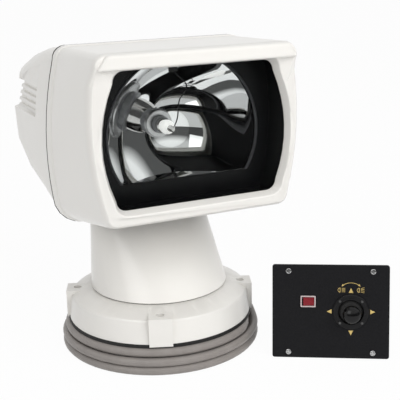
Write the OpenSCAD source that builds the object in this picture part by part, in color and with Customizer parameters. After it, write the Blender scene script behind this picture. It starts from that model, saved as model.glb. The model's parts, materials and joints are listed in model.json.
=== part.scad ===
// Remote-control marine searchlight with its deck base, cable coil and joystick panel.
// Millimetres. Z is the pan axis, Z = 0 the floor, and the head looks along -Y.

/* [Front casing] */
// Half width of the front casing at its seam, half way up
seam_half_mid = 112; // [104:0.5:120]
// Half width at the seam where the upper corner starts
seam_half_top = 101; // [94:0.5:108]
// Half width at the seam where the lower corner starts
seam_half_low = 110; // [104:0.5:112]
// Half width of the front edge, half way up
front_half_mid = 101.5; // [96:0.5:110]
// Half width of the front edge at the upper corner
front_half_top = 96; // [90:0.5:104]
// Half width of the front edge at the lower corner
front_half_low = 91.5; // [86:0.5:100]
// Distance of the front edge ahead of the pan axis
front_reach = 119; // [110:0.5:130]
// Height of the head's flat top above the floor
head_top = 322; // [312:0.5:332]
// Height of the front casing's lower edge
head_low = 164.7; // [160:0.5:168]
// Drop of the underside from the front edge to the seam
under_drop = 23.7; // [21:0.1:25]
// Corner radius of the head's outline
head_corner = 12; // [9:0.5:16]
// Radius of the seam's lower corners
chin_corner = 30; // [24:0.5:34]
// How far the brow and lip stand ahead of the front edge
lip_reach = 7; // [4:0.5:10]
// Share of that reach by which the frame below the brow stands back
brow_share = 0.7; // [0.4:0.05:0.75]
// Width of the raised band along the seam
band_width = 11; // [8:0.5:14]
// Rise of that band
band_rise = 1.2; // [0.8:0.1:1.6]
// Width of the frame beside the glass
frame_side = 9.7; // [7:0.1:13]
// Width of the frame above the glass
frame_top = 16.7; // [13:0.1:20]
// Width of the frame below the glass
frame_low = 14.7; // [11:0.1:18]
// Depth of the glass behind the front edge
glass_depth = 5.6; // [4:0.1:6.5]
// Wall of the moulded housings
wall = 4; // [3:0.25:5]

/* [Rear housing] */
// Distance of the rear face behind the pan axis
rear_reach = 138; // [128:0.5:148]
// Height at which the side ledge runs
ledge_height = 245; // [240:0.5:252]
// Width of the side ledge
ledge_width = 5; // [4:0.25:7]
// Depth of the grooves between the cooling ribs
groove_depth = 2.4; // [1:0.1:2.8]
// Spacing of the cooling ribs
rib_pitch = 7; // [5.5:0.25:7.2]
// Height of the rear face's upper edge
rear_top = 295; // [292:0.5:300]
// Height of the rear face's lower edge
rear_low = 197; // [192:0.5:202]
// Half length of the opening for the yoke, along the head
yoke_gap = 27; // [25:0.5:29]

/* [Optics] */
// Thickness of the front glass
glass_thick = 4; // [3:0.25:5]
// Height of the optical axis
beam_height = 237; // [234:0.5:240]
// Radius of the reflector at its rim
rim_radius = 77; // [70:0.5:79]
// Focal length of the reflector
focal = 23.8; // [22:0.2:26]
// Height at which the mask cuts the beam below
mask_cut = 195.4; // [190:0.5:200]
// Radius of the lamp socket's bore
socket_bore = 9; // [8:0.1:10]
// Radius of the bulb's glass
bulb_radius = 5.5; // [4:0.1:6]
// Pitch radius of the focus screw
screw_radius = 2; // [1.5:0.1:2.5]

/* [Neck and yoke] */
// Radius of the neck where it turns on the base
neck_radius = 73; // [70:0.25:74]
// Half width of the neck's top
neck_top_half = 62; // [60:0.5:66]
// Half depth of the neck's top
neck_top_depth = 43; // [41:0.5:46]
// How far the neck's top lies behind the pan axis
neck_back = 30; // [26:0.5:33]
// Tilt axis behind the pan axis
tilt_back = 38; // [36:0.25:40]
// Height of the tilt axis
tilt_height = 198; // [196:0.25:200]
// Height of the tilt axis above the top of the neck
tilt_rise = 50; // [47:0.25:53]
// Radius of the trunnion pins
pin_radius = 5; // [4:0.1:6]
// Module of both gear trains
gear_module = 1.5; // [1.3:0.05:1.55]

/* [Base] */
// Radius of the skirt's foot
skirt_radius = 98; // [96:0.25:100]
// Radius of the skirt's rim
rim_edge = 95.2; // [94:0.1:96]
// Height of the skirt's rim above the skirt's foot
rim_rise = 23.9; // [22:0.1:25]
// Height of the shoulder above the rim
shoulder_rise = 7.9; // [6:0.1:9]
// Thickness of the black base gasket
gasket_thick = 3.6; // [3:0.1:5]
// Radius of the bolt circle through the lugs
bolt_circle = 88.4; // [86.5:0.1:89]
// Diameter of the deck bolt holes
bolt_hole = 8.4; // [6.4:0.1:9]
// Width of a lug
lug_width = 23.5; // [20:0.25:26]
// Turn of the base under the head
base_turn = -21.4; // [-45:0.1:45]
// Radius of the pan post
post_radius = 14; // [13:0.1:15]
// Radial clearance of turning fits
fit = 0.05; // [0.02:0.01:0.09]

/* [Cable] */
// Diameter of the cable
cable = 9; // [8.4:0.1:9.2]
// Outer radius of the coil
coil_radius = 106.6; // [105:0.1:110]
// Inner radius of the coil
coil_inner = 79; // [72:0.5:80]

/* [Control panel] */
// Width of the panel
panel_width = 118; // [116:0.5:130]
// Height of the panel
panel_height = 96; // [95:0.5:110]
// Thickness of the panel
panel_thick = 3; // [2:0.25:4]
// Depth of the control box
box_depth = 42; // [38:0.5:60]
// Lean of the panel to the back
panel_lean = 11; // [5:0.5:14]
// Radius of the joystick flange
flange_radius = 18; // [17:0.1:20]
// Radius of the joystick boot
boot_radius = 14; // [13:0.1:14.4]
// Radius of the joystick knob
knob_radius = 9; // [7:0.1:11]
// Width of the switch frame
switch_width = 15.2; // [13:0.1:20]
// Height of the switch frame
switch_height = 11.6; // [10:0.1:16]

/* [Hidden] */
$fn = 64;
front_y = -front_reach;
neck_top = tilt_height - tilt_rise;
lip_y = front_y - lip_reach;
glass_y = front_y + glass_depth;
seat_y = glass_y + 2;
shroud_y = seat_y + glass_thick;
mask_y = shroud_y + 25.4;
mask_back = mask_y + 3;
rim_y = mask_back + 2;
apex_hole = 14;
ring_y = rim_y + (rim_radius * rim_radius - apex_hole * apex_hole) / (4 * focal);
seam_gasket = 1.5;
seam_low = head_low - under_drop;
seam_top = head_top - 1.7;
mask_top = head_top - frame_top - 2.3;
coil_top = 3 * cable;
skirt_z = coil_top + gasket_thick;
rim_z = skirt_z + rim_rise;
shoulder_z = rim_z + shoulder_rise;
neck_z = shoulder_z + 1;
floor_z = neck_z + 3;
pan_teeth = 48;
pan_pitch = gear_module * pan_teeth / 2;
pinion_teeth = 12;
pinion_pitch = gear_module * pinion_teeth / 2;
pan_centre = pan_pitch + pinion_pitch;
sector_teeth = 30;
sector_pitch = gear_module * sector_teeth / 2;
tilt_teeth = 10;
tilt_pitch = gear_module * tilt_teeth / 2;
tilt_centre = sector_pitch + tilt_pitch;
tilt_motor_z = tilt_height - tilt_centre;
cheek_in = 33;
cheek_out = 39;
cheek_half = 14;
bracket_in = 48;
bracket_out = 54;
sector_in = 43;
lip_inset = 22;
mouth_half = neck_top_half + 9;
mouth_front = tilt_back - 88;
mouth_high = seam_low + 41;
lip_back = seam_gasket + 4;
frame_half = 20;
screw_z = beam_height - 13;
gland_out = 20;
gland_z = 13;
turn_out = coil_radius - cable / 2;
turn_in = turn_out - cable - 3.6;
lead_bend = (turn_in * turn_in - gland_out * gland_out) / (2 * turn_in);
lead_arm = norm([gland_out, lead_bend]);
lead_stop = coil_inner - cable / 2 - 0.3;
lead_sweep = 180 - atan(gland_out / lead_bend)
    - acos((lead_stop * lead_stop - lead_arm * lead_arm - lead_bend * lead_bend)
        / (2 * lead_arm * lead_bend));
tail_angle = 120;
tail_start = sqrt(pow(coil_radius + cable / 2 + 0.3, 2) - turn_out * turn_out);
tail_run = 24;
plug_radius = 11;
plug_spigot = 8.2;
spigot_length = 6;
pin_length = 5;
panel_x = 130.4;
panel_y = -139;
panel_yaw = -30.5;
stick_u = 20.4;
stick_v = 48.2;
pivot_w = -4;
switch_u = -22.8;
switch_v = 58.4;
screw_u = 42.5;
foot_v = box_depth * tan(panel_lean);

seam = [seam_half_low, seam_half_mid, seam_half_top, seam_low, seam_top, head_corner + 2, chin_corner];
face = [front_half_low, front_half_mid, front_half_top, head_low, head_top, head_corner, head_corner];
pane = [front_half_low - frame_side, front_half_mid - frame_side, front_half_top - frame_top,
        head_low + frame_low, head_top - frame_top, head_corner - 2, head_corner - 2];

function bulge(t, a, b, c) = a * (1 - t) * (1 - 2 * t) + 4 * b * t * (1 - t) + c * t * (2 * t - 1);
function inset(s, d) = [s[0] - d, s[1] - d, s[2] - d, s[3] + d, s[4] - d,
    max(s[5] - d, 2), max(s[6] - d, 2)];
function mix(a, b, t) = [for (i = [0:6]) a[i] + (b[i] - a[i]) * t];

// The right half of a head section, from the middle of the lower edge upward.
function flank(s) = concat(
    [for (i = [0:5]) [s[0] - s[6] + s[6] * sin(18 * i), s[3] + s[6] - s[6] * cos(18 * i)]],
    [for (i = [1:7]) [bulge(i / 8, s[0], s[1], s[2]), s[3] + s[6] + (s[4] - s[3] - s[5] - s[6]) * i / 8]],
    [for (i = [0:5]) [s[2] - s[5] + s[5] * cos(18 * i), s[4] - s[5] + s[5] * sin(18 * i)]]);
function both(h) = concat(h, [for (i = [len(h) - 1:-1:0]) [-h[i][0], h[i][1]]]);
function ring(y, s) = [for (p = both(flank(s))) [p[0], y, p[1]]];

// The right half of a rear section, whose side carries the ledge and four grooves.
function side_at(s, z) = bulge((z - s[3] - s[6]) / (s[4] - s[3] - s[5] - s[6]), s[0], s[1], s[2]);
function ribbed(s, step, groove) = let (z0 = ledge_height, p = rib_pitch) concat(
    [for (i = [0:5]) [s[0] - s[6] + s[6] * sin(18 * i), s[3] + s[6] - s[6] * cos(18 * i)]],
    [[side_at(s, z0), z0], [side_at(s, z0 + 1) - step, z0 + 1]],
    [for (k = [0:3]) for (e = [[0.25, 0], [0.38, 1], [0.72, 1], [0.85, 0]])
        let (z = z0 + 1 + p * (k + e[0])) [side_at(s, z) - step - groove * e[1], z]],
    [for (i = [0:5]) [s[2] - s[5] + s[5] * cos(18 * i), s[4] - s[5] + s[5] * sin(18 * i)]]);
function rear_ring(y, s, step, groove) = [for (p = both(ribbed(s, step, groove))) [p[0], y, p[1]]];
function rear_section(t, d) = [
    seam_half_low - 1 + 2 * t - d, seam_half_mid - 1 + 1.5 * t - d, seam_half_top - 1 + 5 * t - d,
    seam_low + 1 + (rear_low - seam_low) * (1.25 * t - 1.55 * t * t + 1.3 * t * t * t) + d,
    seam_top - 2 - (seam_top - rear_top) * (0.2 * t + 0.8 * t * t) - d,
    head_corner + 2 + 4 * t - d / 2, chin_corner - 16 * t - d / 2];

function oval(z, y, a, b) = [for (i = [0:47]) [a * cos(7.5 * i), y + b * sin(7.5 * i), z]];
function neck_ring(t, d) = oval(neck_z + (neck_top - neck_z) * t, neck_back * t,
    neck_radius + (neck_top_half - neck_radius) * t - d,
    neck_radius + (neck_top_depth - neck_radius) * t - d);

// One involute gear outline, thinned for running clearance.
function involute(r, b) = let (a = acos(min(1, b / r))) tan(a) * 180 / PI - a;
function tooth(n, m, k) = let (r = m * n / 2, b = r * cos(20), half = 90 / n + involute(r, b) - 8 / r,
    lo = max(r - 1.2 * m, 0.5), hi = r + 0.85 * m, c = 360 * k / n,
    radii = [max(lo, b), max(lo, b) * 0.6 + hi * 0.4, max(lo, b) * 0.25 + hi * 0.75, hi])
    concat([[lo * cos(c - half), lo * sin(c - half)]],
        [for (q = radii) let (a = c - half + involute(q, b)) [q * cos(a), q * sin(a)]],
        [for (i = [3:-1:0]) let (q = radii[i], a = c + half - involute(q, b)) [q * cos(a), q * sin(a)]],
        [[lo * cos(c + half), lo * sin(c + half)]]);
function gear_outline(n, m) = [for (k = [0:n - 1]) each tooth(n, m, k)];

// A skin over a list of rings that closes on itself, and one that is capped at both ends.
function skin(n, m) = [for (k = [0:m - 2]) for (i = [0:n - 1]) let (j = (i + 1) % n)
    each [[k * n + i, k * n + j, k * n + n + j], [k * n + i, k * n + n + j, k * n + n + i]]];
module tunnel(rings) {
    n = len(rings[0]);
    m = len(rings);
    last = [for (i = [0:n - 1]) let (j = (i + 1) % n, a = (m - 1) * n)
        each [[a + i, a + j, j], [a + i, j, i]]];
    polyhedron([for (r = rings) each r], concat(skin(n, m), last));
}
module capped(rings) {
    n = len(rings[0]);
    m = len(rings);
    polyhedron([for (r = rings) each r],
        concat(skin(n, m), [[for (i = [n - 1:-1:0]) i]], [[for (i = [0:n - 1]) (m - 1) * n + i]]));
}
module slab(points, y0, y1) {
    translate([0, y1, 0])
        rotate([90, 0, 0])
            linear_extrude(y1 - y0)
                polygon(points);
}
module along_y(x, y0, y1, z, r) {
    translate([x, y1, z])
        rotate([90, 0, 0])
            cylinder(r = r, h = y1 - y0);
}
module along_x(x0, x1, y, z, r) {
    translate([x0, y, z])
        rotate([0, 90, 0])
            cylinder(r = r, h = x1 - x0);
}
module at_lugs(r) {
    for (k = [0:3])
        rotate(270 + base_turn + 90 * k)
            translate([r, 0, 0])
                children();
}
module at_bosses(r) {
    for (k = [0:3])
        rotate(315 + base_turn + 90 * k)
            translate([r, 0, 0])
                children();
}
module on_panel() {
    translate([panel_x, panel_y, 0])
        rotate([0, 0, panel_yaw])
            rotate([90 - panel_lean, 0, 0])
                children();
}

function side_section(y) = mix(face, inset(seam, band_rise), 1 + y / front_reach);
function ease(t) = let (c = min(max(t, 0), 1)) c * c * (3 - 2 * c);
function browed(points) = [for (p = points)
    p + [0, brow_share * lip_reach * (1 - ease((p[2] - head_top + frame_top + 4) / 8)), 0]];
module neck_mouth() {
    translate([-mouth_half, mouth_front, seam_low - 20])
        cube([2 * mouth_half, tilt_back + yoke_gap - mouth_front, mouth_high - seam_low + 20]);
}
module front_casing() {
    color("white")
        difference() {
            tunnel([
                browed(ring(lip_y, inset(face, 4))),
                browed(ring(lip_y + 0.2 * lip_reach, inset(face, 1.5))),
                ring(front_y, face),
                ring(front_y * 0.5, side_section(front_y * 0.5)),
                ring(-band_width, side_section(-band_width)),
                ring(1 - band_width, inset(side_section(1 - band_width), -band_rise)),
                ring(0, seam),
                ring(0, inset(seam, wall)),
                ring(seat_y, inset(face, wall)),
                ring(seat_y, pane),
                ring(glass_y, pane),
                browed(ring(lip_y + 1, inset(pane, -3))),
                browed(ring(lip_y, inset(pane, -4)))
            ]);
            neck_mouth();
        }
}
module seam_gasket_ring() {
    color("dimgray")
        difference() {
            tunnel([
                ring(0, inset(seam, 1.2)),
                ring(seam_gasket, inset(seam, 1.2)),
                ring(seam_gasket, inset(seam, wall)),
                ring(0, inset(seam, wall))
            ]);
            neck_mouth();
        }
}
module rear_housing() {
    e = rear_reach - 7;
    color("white")
        difference() {
            capped([
                rear_ring(rear_reach - wall, inset(rear_section(1, wall), 5), 4, 0),
                rear_ring(e - 4, rear_section(0.95, wall), 5, groove_depth),
                rear_ring(46, rear_section(0.34, wall), 5, groove_depth),
                rear_ring(42, rear_section(0.31, wall), 0, 0),
                rear_ring(lip_back, rear_section(0.01, wall), 0, 0),
                rear_ring(lip_back, rear_section(0.01, lip_inset), 0, 0),
                rear_ring(seam_gasket, rear_section(0, lip_inset), 0, 0),
                rear_ring(seam_gasket, rear_section(0, 0), 0, 0),
                rear_ring(44, rear_section(0.32, 0), 0, 0),
                rear_ring(45, rear_section(0.33, 0), ledge_width, groove_depth),
                rear_ring(90, rear_section(0.68, 0), ledge_width, groove_depth),
                rear_ring(e, rear_section(1, 0), ledge_width, groove_depth),
                rear_ring(rear_reach, inset(rear_section(1, 0), 5), 4, 0)
            ]);
            neck_mouth();
        }
}
module front_glass() {
    color("lightcyan")
        slab(both(flank(inset(face, wall + 0.4))), seat_y, shroud_y);
}
module mask_shroud() {
    color("black")
        tunnel([
            ring(shroud_y, inset(face, wall + 0.6)),
            ring(mask_y, inset(face, wall + 4)),
            ring(mask_y, inset(face, wall + 6.5)),
            ring(shroud_y, inset(face, wall + 3.1))
        ]);
}
module mask_plate() {
    color("black")
        difference() {
            slab(both(flank(inset(face, wall + 0.8))), mask_y, mask_back);
            intersection() {
                along_y(0, mask_y - 1, mask_back + 1, beam_height, rim_radius);
                translate([-rim_radius, mask_y - 1, mask_cut])
                    cube([2 * rim_radius, 5, mask_top - mask_cut]);
            }
        }
}
module reflector() {
    steps = 14;
    bowl = [for (i = [0:steps]) let (r = rim_radius + (apex_hole - rim_radius) * i / steps)
        [r, (rim_radius * rim_radius - r * r) / (4 * focal)]];
    back = [for (i = [steps:-1:0]) [bowl[i][0] + 1.2, bowl[i][1] + 1.6]];
    color("silver")
        intersection() {
            translate([0, rim_y, beam_height])
                rotate([-90, 0, 0])
                    rotate_extrude($fn = 96)
                        polygon(concat([[rim_radius + 6, -2], [rim_radius, -2]], bowl, back,
                            [[rim_radius + 6, 1.6]]));
            translate([-100, mask_back, mask_cut - 6])
                cube([200, 120, mask_top - mask_cut + 12]);
        }
}
module socket_ring() {
    color("gainsboro")
        translate([0, ring_y, beam_height])
            rotate([-90, 0, 0])
                rotate_extrude()
                    polygon([[socket_bore, -3], [apex_hole - 0.4, -3], [apex_hole - 0.4, 0],
                        [apex_hole + 1.2, 1.6], [apex_hole + 4, 1.6], [apex_hole + 4, 5],
                        [apex_hole + 0.6, 8], [apex_hole + 0.6, -1.5 - ring_y],
                        [socket_bore, -1.5 - ring_y]]);
}
module lamp_frame() {
    half = seam_half_mid - wall - 8;
    low = tilt_height - 12;
    color("slategray")
        difference() {
            translate([-half, -1.5, low])
                cube([2 * half, 3, beam_height + frame_half - low]);
            along_y(0, -2, 2, beam_height, socket_bore + 2);
            along_y(0, -2, 2, screw_z, screw_radius + fit);
        }
}
module frame_posts() {
    color("silver")
        for (x = [-1, 1])
            for (z = [-1, 1])
                along_y(x * (rim_radius + 14), mask_back, -1.5, beam_height + 14 * z, 3.5);
}
module bulb_carriage() {
    color("whitesmoke")
        difference() {
            union() {
                along_y(0, ring_y - 8, 22, beam_height, socket_bore - fit);
                along_y(0, 12, 17, beam_height, 18);
            }
            along_y(0, 11, 18, screw_z, screw_radius + fit);
        }
}
module bulb() {
    y0 = ring_y - 8;
    color("lightyellow")
        translate([0, y0, beam_height])
            rotate([90, 0, 0])
                rotate_extrude()
                    polygon([[0, 0], [bulb_radius + 1.5, 0], [bulb_radius + 1.5, 6], [bulb_radius - 0.5, 8],
                        [bulb_radius + 0.5, 11], [bulb_radius + 0.8, 15], [bulb_radius + 0.2, 19],
                        [bulb_radius - 1.5, 22], [3, 23.5], [3, 29], [1.8, 31], [0, 31]]);
}
module focus_screw() {
    color("silver")
        union() {
            along_y(0, -1.2, 36, screw_z, screw_radius);
            along_y(0, 4, 7, screw_z, screw_radius + 1.2);
        }
}
module focus_bracket() {
    color("slategray")
        difference() {
            union() {
                for (x = [-20, 20])
                    along_y(x, 1.5, 36, screw_z, 3);
                translate([-24, 36, screw_z - 10])
                    cube([48, 3, 20]);
            }
            along_y(0, 35, 40, screw_z, screw_radius + 0.4);
        }
}
module focus_motor() {
    color("dimgray")
        difference() {
            union() {
                along_y(0, 39, 58, screw_z, 10);
                along_y(0, 58, 61, screw_z, 5);
            }
            along_y(0, 38, 42, screw_z, screw_radius + 0.4);
        }
}
module tilt_bracket() {
    low = tilt_height - 12;
    color("slategray")
        difference() {
            union() {
                translate([-bracket_out, 1.5, low])
                    cube([2 * bracket_out, 4, screw_z - 10 - low]);
                for (x = [-bracket_out, bracket_in])
                    translate([x, 1.5, low])
                        cube([bracket_out - bracket_in, tilt_back + 12.5, 24]);
            }
            along_x(-bracket_out - 1, bracket_out + 1, tilt_back, tilt_height, pin_radius);
        }
}
module trunnion_pins() {
    color("silver")
        for (s = [0, 1])
            mirror([s, 0, 0])
                union() {
                    along_x(cheek_in - 2, bracket_out + 1, tilt_back, tilt_height, pin_radius);
                    along_x(bracket_out, bracket_out + 3, tilt_back, tilt_height, pin_radius + 3);
                }
}
module tilt_sector() {
    color("goldenrod")
        translate([sector_in, tilt_back, tilt_height])
            rotate([0, 90, 0])
                linear_extrude(bracket_in - sector_in)
                    difference() {
                        union() {
                            circle(r = pin_radius + 4);
                            intersection() {
                                polygon(gear_outline(sector_teeth, gear_module));
                                polygon([[0, 0], [40 * cos(47), -40 * sin(47)], [60, 0],
                                    [40 * cos(47), 40 * sin(47)]]);
                            }
                        }
                        circle(r = pin_radius);
                    }
}
module tilt_pinion() {
    color("goldenrod")
        union() {
            translate([sector_in, tilt_back, tilt_motor_z])
                rotate([0, 90, 0])
                    linear_extrude(bracket_in - sector_in - 0.5)
                        rotate(180 / tilt_teeth)
                            polygon(gear_outline(tilt_teeth, gear_module));
            along_x(cheek_in - 6, sector_in + 1, tilt_back, tilt_motor_z, 2);
        }
}
module tilt_motor() {
    color("dimgray")
        difference() {
            union() {
                along_x(cheek_in - 4, cheek_in, tilt_back, tilt_motor_z, 13);
                along_x(cheek_in - 44, cheek_in - 4, tilt_back, tilt_motor_z, 11);
                along_x(cheek_in - 48, cheek_in - 44, tilt_back, tilt_motor_z, 5);
            }
            along_x(cheek_in - 7, cheek_in + 1, tilt_back, tilt_motor_z, 2 + fit);
        }
}
module tilt_bushes() {
    color("darkkhaki")
        for (s = [0, 1])
            mirror([s, 0, 0])
                difference() {
                    union() {
                        along_x(cheek_in, cheek_out, tilt_back, tilt_height, pin_radius + 2);
                        along_x(cheek_out, cheek_out + 2, tilt_back, tilt_height, pin_radius + 4);
                    }
                    along_x(cheek_in - 1, cheek_out + 3, tilt_back, tilt_height, pin_radius + fit);
                }
}
module yoke() {
    color("slategray")
        difference() {
            union() {
                translate([0, 0, neck_top])
                    linear_extrude(4)
                        polygon([for (p = oval(0, neck_back, neck_top_half - 0.5, neck_top_depth - 0.5))
                            [p[0], p[1]]]);
                for (x = [-cheek_out, cheek_in]) {
                    translate([x, tilt_back - cheek_half, neck_top + 4])
                        cube([cheek_out - cheek_in, 2 * cheek_half, tilt_height - neck_top - 4]);
                    along_x(x, x + cheek_out - cheek_in, tilt_back, tilt_height, cheek_half);
                }
            }
            along_x(-cheek_out - 1, cheek_out + 1, tilt_back, tilt_height, pin_radius + 2);
            along_x(cheek_in - 1, cheek_out + 1, tilt_back, tilt_motor_z, 5);
            translate([0, neck_back - 22, neck_top - 1])
                cylinder(r = 12, h = 6);
        }
}
module neck() {
    t = 3 / (neck_top - neck_z);
    bore = neck_radius - 15;
    color("white")
        tunnel([
            neck_ring(1, 0),
            neck_ring(0.66, 0),
            neck_ring(0.33, 0),
            neck_ring(0, 0),
            oval(neck_z, 0, bore, bore),
            oval(floor_z, 0, bore, bore),
            neck_ring(t, wall),
            neck_ring(0.5, wall),
            neck_ring(1, wall)
        ]);
}
module neck_hub() {
    color("slategray")
        difference() {
            union() {
                translate([0, 0, floor_z])
                    cylinder(r = neck_radius - 10, h = 3);
                translate([0, 0, floor_z - 6.3])
                    cylinder(r = post_radius + 8, h = 23.9);
            }
            translate([0, 0, floor_z - 7])
                cylinder(r = post_radius + fit, h = 30);
            for (k = [0:3])
                rotate(45 + 90 * k)
                    translate([neck_radius - 13.5, 0, floor_z - 1])
                        cylinder(r = 1.6, h = 6);
        }
}
module hub_screws() {
    color("silver")
        for (k = [0:3])
            rotate(45 + 90 * k)
                translate([neck_radius - 13.5, 0, floor_z])
                    union() {
                        cylinder(r = 1.6, h = 3);
                        translate([0, 0, 3])
                            cylinder(r = 3, h = 2.2);
                    }
}
module pan_gear() {
    color("goldenrod")
        translate([0, 0, floor_z - 5])
            linear_extrude(5)
                difference() {
                    polygon(gear_outline(pan_teeth, gear_module));
                    circle(r = post_radius + 8);
                }
}
module pan_pinion() {
    color("goldenrod")
        translate([0, pan_centre, 0])
            union() {
                translate([0, 0, floor_z - 4.8])
                    linear_extrude(4.4)
                        rotate(180 / pinion_teeth)
                            polygon(gear_outline(pinion_teeth, gear_module));
                translate([0, 0, skirt_z + 19])
                    cylinder(r = 2, h = floor_z - 4 - skirt_z - 19);
            }
}
module pan_motor() {
    color("dimgray")
        translate([0, pan_centre, skirt_z + 4])
            difference() {
                union() {
                    cylinder(r = 13, h = 3);
                    cylinder(r = 11.5, h = 21);
                }
                translate([0, 0, 14])
                    cylinder(r = 2 + fit, h = 8);
            }
}
module pan_post() {
    low = floor_z - 9.4;
    color("slategray")
        difference() {
            union() {
                translate([0, 0, skirt_z])
                    cylinder(r = neck_radius + 3.5, h = 4);
                translate([0, 0, skirt_z + 4])
                    cylinder(r = post_radius + 6, h = low - skirt_z - 4);
                translate([0, 0, low])
                    cylinder(r = post_radius, h = 35);
            }
            translate([0, 0, skirt_z - 1])
                cylinder(r = 8, h = 100);
            at_bosses(70)
                translate([0, 0, skirt_z - 1])
                    cylinder(r = 2, h = 6);
        }
}
module thrust_washer() {
    color("darkkhaki")
        translate([0, 0, floor_z - 9.4])
            difference() {
                cylinder(r = post_radius + 6, h = 3);
                translate([0, 0, -1])
                    cylinder(r = post_radius, h = 5);
            }
}
module post_collar() {
    color("silver")
        translate([0, 0, floor_z + 17.7])
            difference() {
                cylinder(r = post_radius + 6, h = 6);
                translate([0, 0, -1])
                    cylinder(r = post_radius, h = 8);
            }
}
module neck_seal() {
    color("dimgray")
        translate([0, 0, shoulder_z])
            difference() {
                cylinder(r = neck_radius - 2, h = 0.7);
                translate([0, 0, -1])
                    cylinder(r = neck_radius - 6, h = 3);
            }
}
module base_skirt() {
    foot = skirt_z - gasket_thick / 2;
    color("white")
        difference() {
            union() {
                rotate_extrude($fn = 96)
                    polygon([[skirt_radius, skirt_z], [rim_edge, rim_z - 2.5], [rim_edge - 1.8, rim_z],
                        [neck_radius + 0.5, shoulder_z], [neck_radius - 7, shoulder_z],
                        [neck_radius - 7, shoulder_z - wall], [neck_radius, shoulder_z - wall],
                        [rim_edge - wall - 1.5, rim_z - wall], [skirt_radius - wall, skirt_z]]);
                at_lugs(bolt_circle)
                    translate([-11, -lug_width / 2, foot])
                        cube([22.4, lug_width, rim_z + 3.6 - foot]);
                at_bosses(70)
                    translate([0, 0, skirt_z + 4])
                        cylinder(r = 5.5, h = shoulder_z - skirt_z - 5);
            }
            at_lugs(bolt_circle)
                translate([0, 0, foot - 1])
                    cylinder(d = bolt_hole, h = rim_z + 10 - foot);
            at_bosses(70)
                translate([0, 0, skirt_z + 3])
                    cylinder(r = 2, h = 12);
        }
}
module base_gasket() {
    color("black")
        difference() {
            translate([0, 0, coil_top])
                cylinder(r = skirt_radius + 0.6, h = gasket_thick, $fn = 96);
            translate([0, 0, coil_top - 1])
                cylinder(r = 60, h = gasket_thick + 2);
            at_lugs(bolt_circle)
                translate([-11.4, -lug_width / 2 - 0.3, skirt_z - gasket_thick / 2])
                    cube([30, lug_width + 0.6, 10]);
            at_lugs(bolt_circle)
                translate([0, 0, coil_top - 1])
                    cylinder(d = bolt_hole, h = 10);
            at_bosses(70)
                translate([0, 0, coil_top - 1])
                    cylinder(r = 5, h = 10);
        }
}
module base_screws() {
    color("silver")
        at_bosses(70)
            translate([0, 0, skirt_z])
                union() {
                    translate([0, 0, -2.6])
                        cylinder(r = 4, h = 2.6);
                    cylinder(r = 2, h = 14);
                }
}
function path_tube(points, r, n) = [for (k = [0:len(points) - 1]) let (
    a = points[max(k - 1, 0)], b = points[min(k + 1, len(points) - 1)],
    d = (b - a) / norm(b - a), s = cross([0, 0, 1], d) / norm(cross([0, 0, 1], d)), u = cross(d, s))
    [for (i = [0:n - 1]) points[k] + r * (cos(360 * i / n) * s + sin(360 * i / n) * u)]];
module cable_gland() {
    color("black")
        difference() {
            union() {
                translate([0, 0, skirt_z - 6])
                    cylinder(r = 12, h = 6, $fn = 6);
                translate([0, 0, gland_z])
                    cylinder(r = 9, h = skirt_z - 6 - gland_z);
                translate([0, 0, gland_z])
                    sphere(r = 9);
                along_x(0, gland_out, 0, gland_z, 7.5);
            }
            along_x(gland_out - 8, gland_out + 1, 0, gland_z, cable / 2);
        }
}
module cable_lead() {
    arc = [for (i = [0:24]) let (a = lead_sweep * i / 24)
        [gland_out + lead_bend * sin(a), -lead_bend + lead_bend * cos(a),
            gland_z + (coil_top - cable / 2 - gland_z) * (1 - cos(180 * i / 24)) / 2]];
    color("gray")
        capped([for (r = path_tube(concat([[gland_out - 7, 0, gland_z]], arc), cable / 2 - 0.05, 12))
            [for (i = [11:-1:0]) r[i]]]);
}
module cable_coil() {
    top = coil_radius - cable / 2;
    color("gray")
        rotate_extrude($fn = 96)
            polygon([[coil_inner, 0], [top, 0], [coil_radius - 0.8, cable * 0.2], [coil_radius, cable / 2],
                [coil_radius, cable * 1.6], [coil_radius - 1.2, cable * 1.9],
                [coil_radius - 3.4, cable * 2.2], [coil_radius - 3.4, cable * 2.5],
                [coil_radius - 8, coil_top], [coil_inner, coil_top]]);
}
module along_tail(s, z) {
    rotate(tail_angle)
        translate([turn_out, -s, z])
            rotate([90, 0, 0])
                children();
}
module cable_tail() {
    pts = [for (i = [0:10]) let (s = tail_start + tail_run * i / 10)
        [turn_out * cos(tail_angle) + s * sin(tail_angle), turn_out * sin(tail_angle) - s * cos(tail_angle),
            cable / 2 + (plug_radius - cable / 2) * (1 - cos(20 * min(i, 9))) / 2]];
    color("gray")
        capped([for (r = path_tube(pts, cable / 2, 12)) [for (i = [11:-1:0]) r[i]]]);
}
module cable_plug() {
    grip = plug_radius - 1.5;
    color("black")
        along_tail(tail_start + tail_run, plug_radius)
            rotate_extrude()
                polygon([[0, 0], [6, 0], [7.5, 8], [grip, 10], [grip, 22], [plug_radius, 24],
                    [plug_radius, 30], [plug_spigot, 30],
                    [plug_spigot, 30 + spigot_length], [0, 30 + spigot_length]]);
}
module plug_pins() {
    color("gold")
        along_tail(tail_start + tail_run + 30 + spigot_length, plug_radius)
            for (k = [0:5])
                rotate(60 * k)
                    translate([5, 0, 0])
                        cylinder(r = 0.9, h = pin_length, $fn = 24);
}
module rounded(w, h, r) {
    square([w - 2 * r, h], center = true);
    square([w, h - 2 * r], center = true);
    for (x = [-1, 1])
        for (y = [-1, 1])
            translate([x * (w / 2 - r), y * (h / 2 - r)])
                circle(r = r);
}
module at_panel_screws() {
    for (x = [-screw_u, screw_u])
        for (y = [6, panel_height - 6.5])
            translate([x, y, 0])
                children();
}
module at_stick(w) {
    translate([stick_u, stick_v, w])
        children();
}
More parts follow.
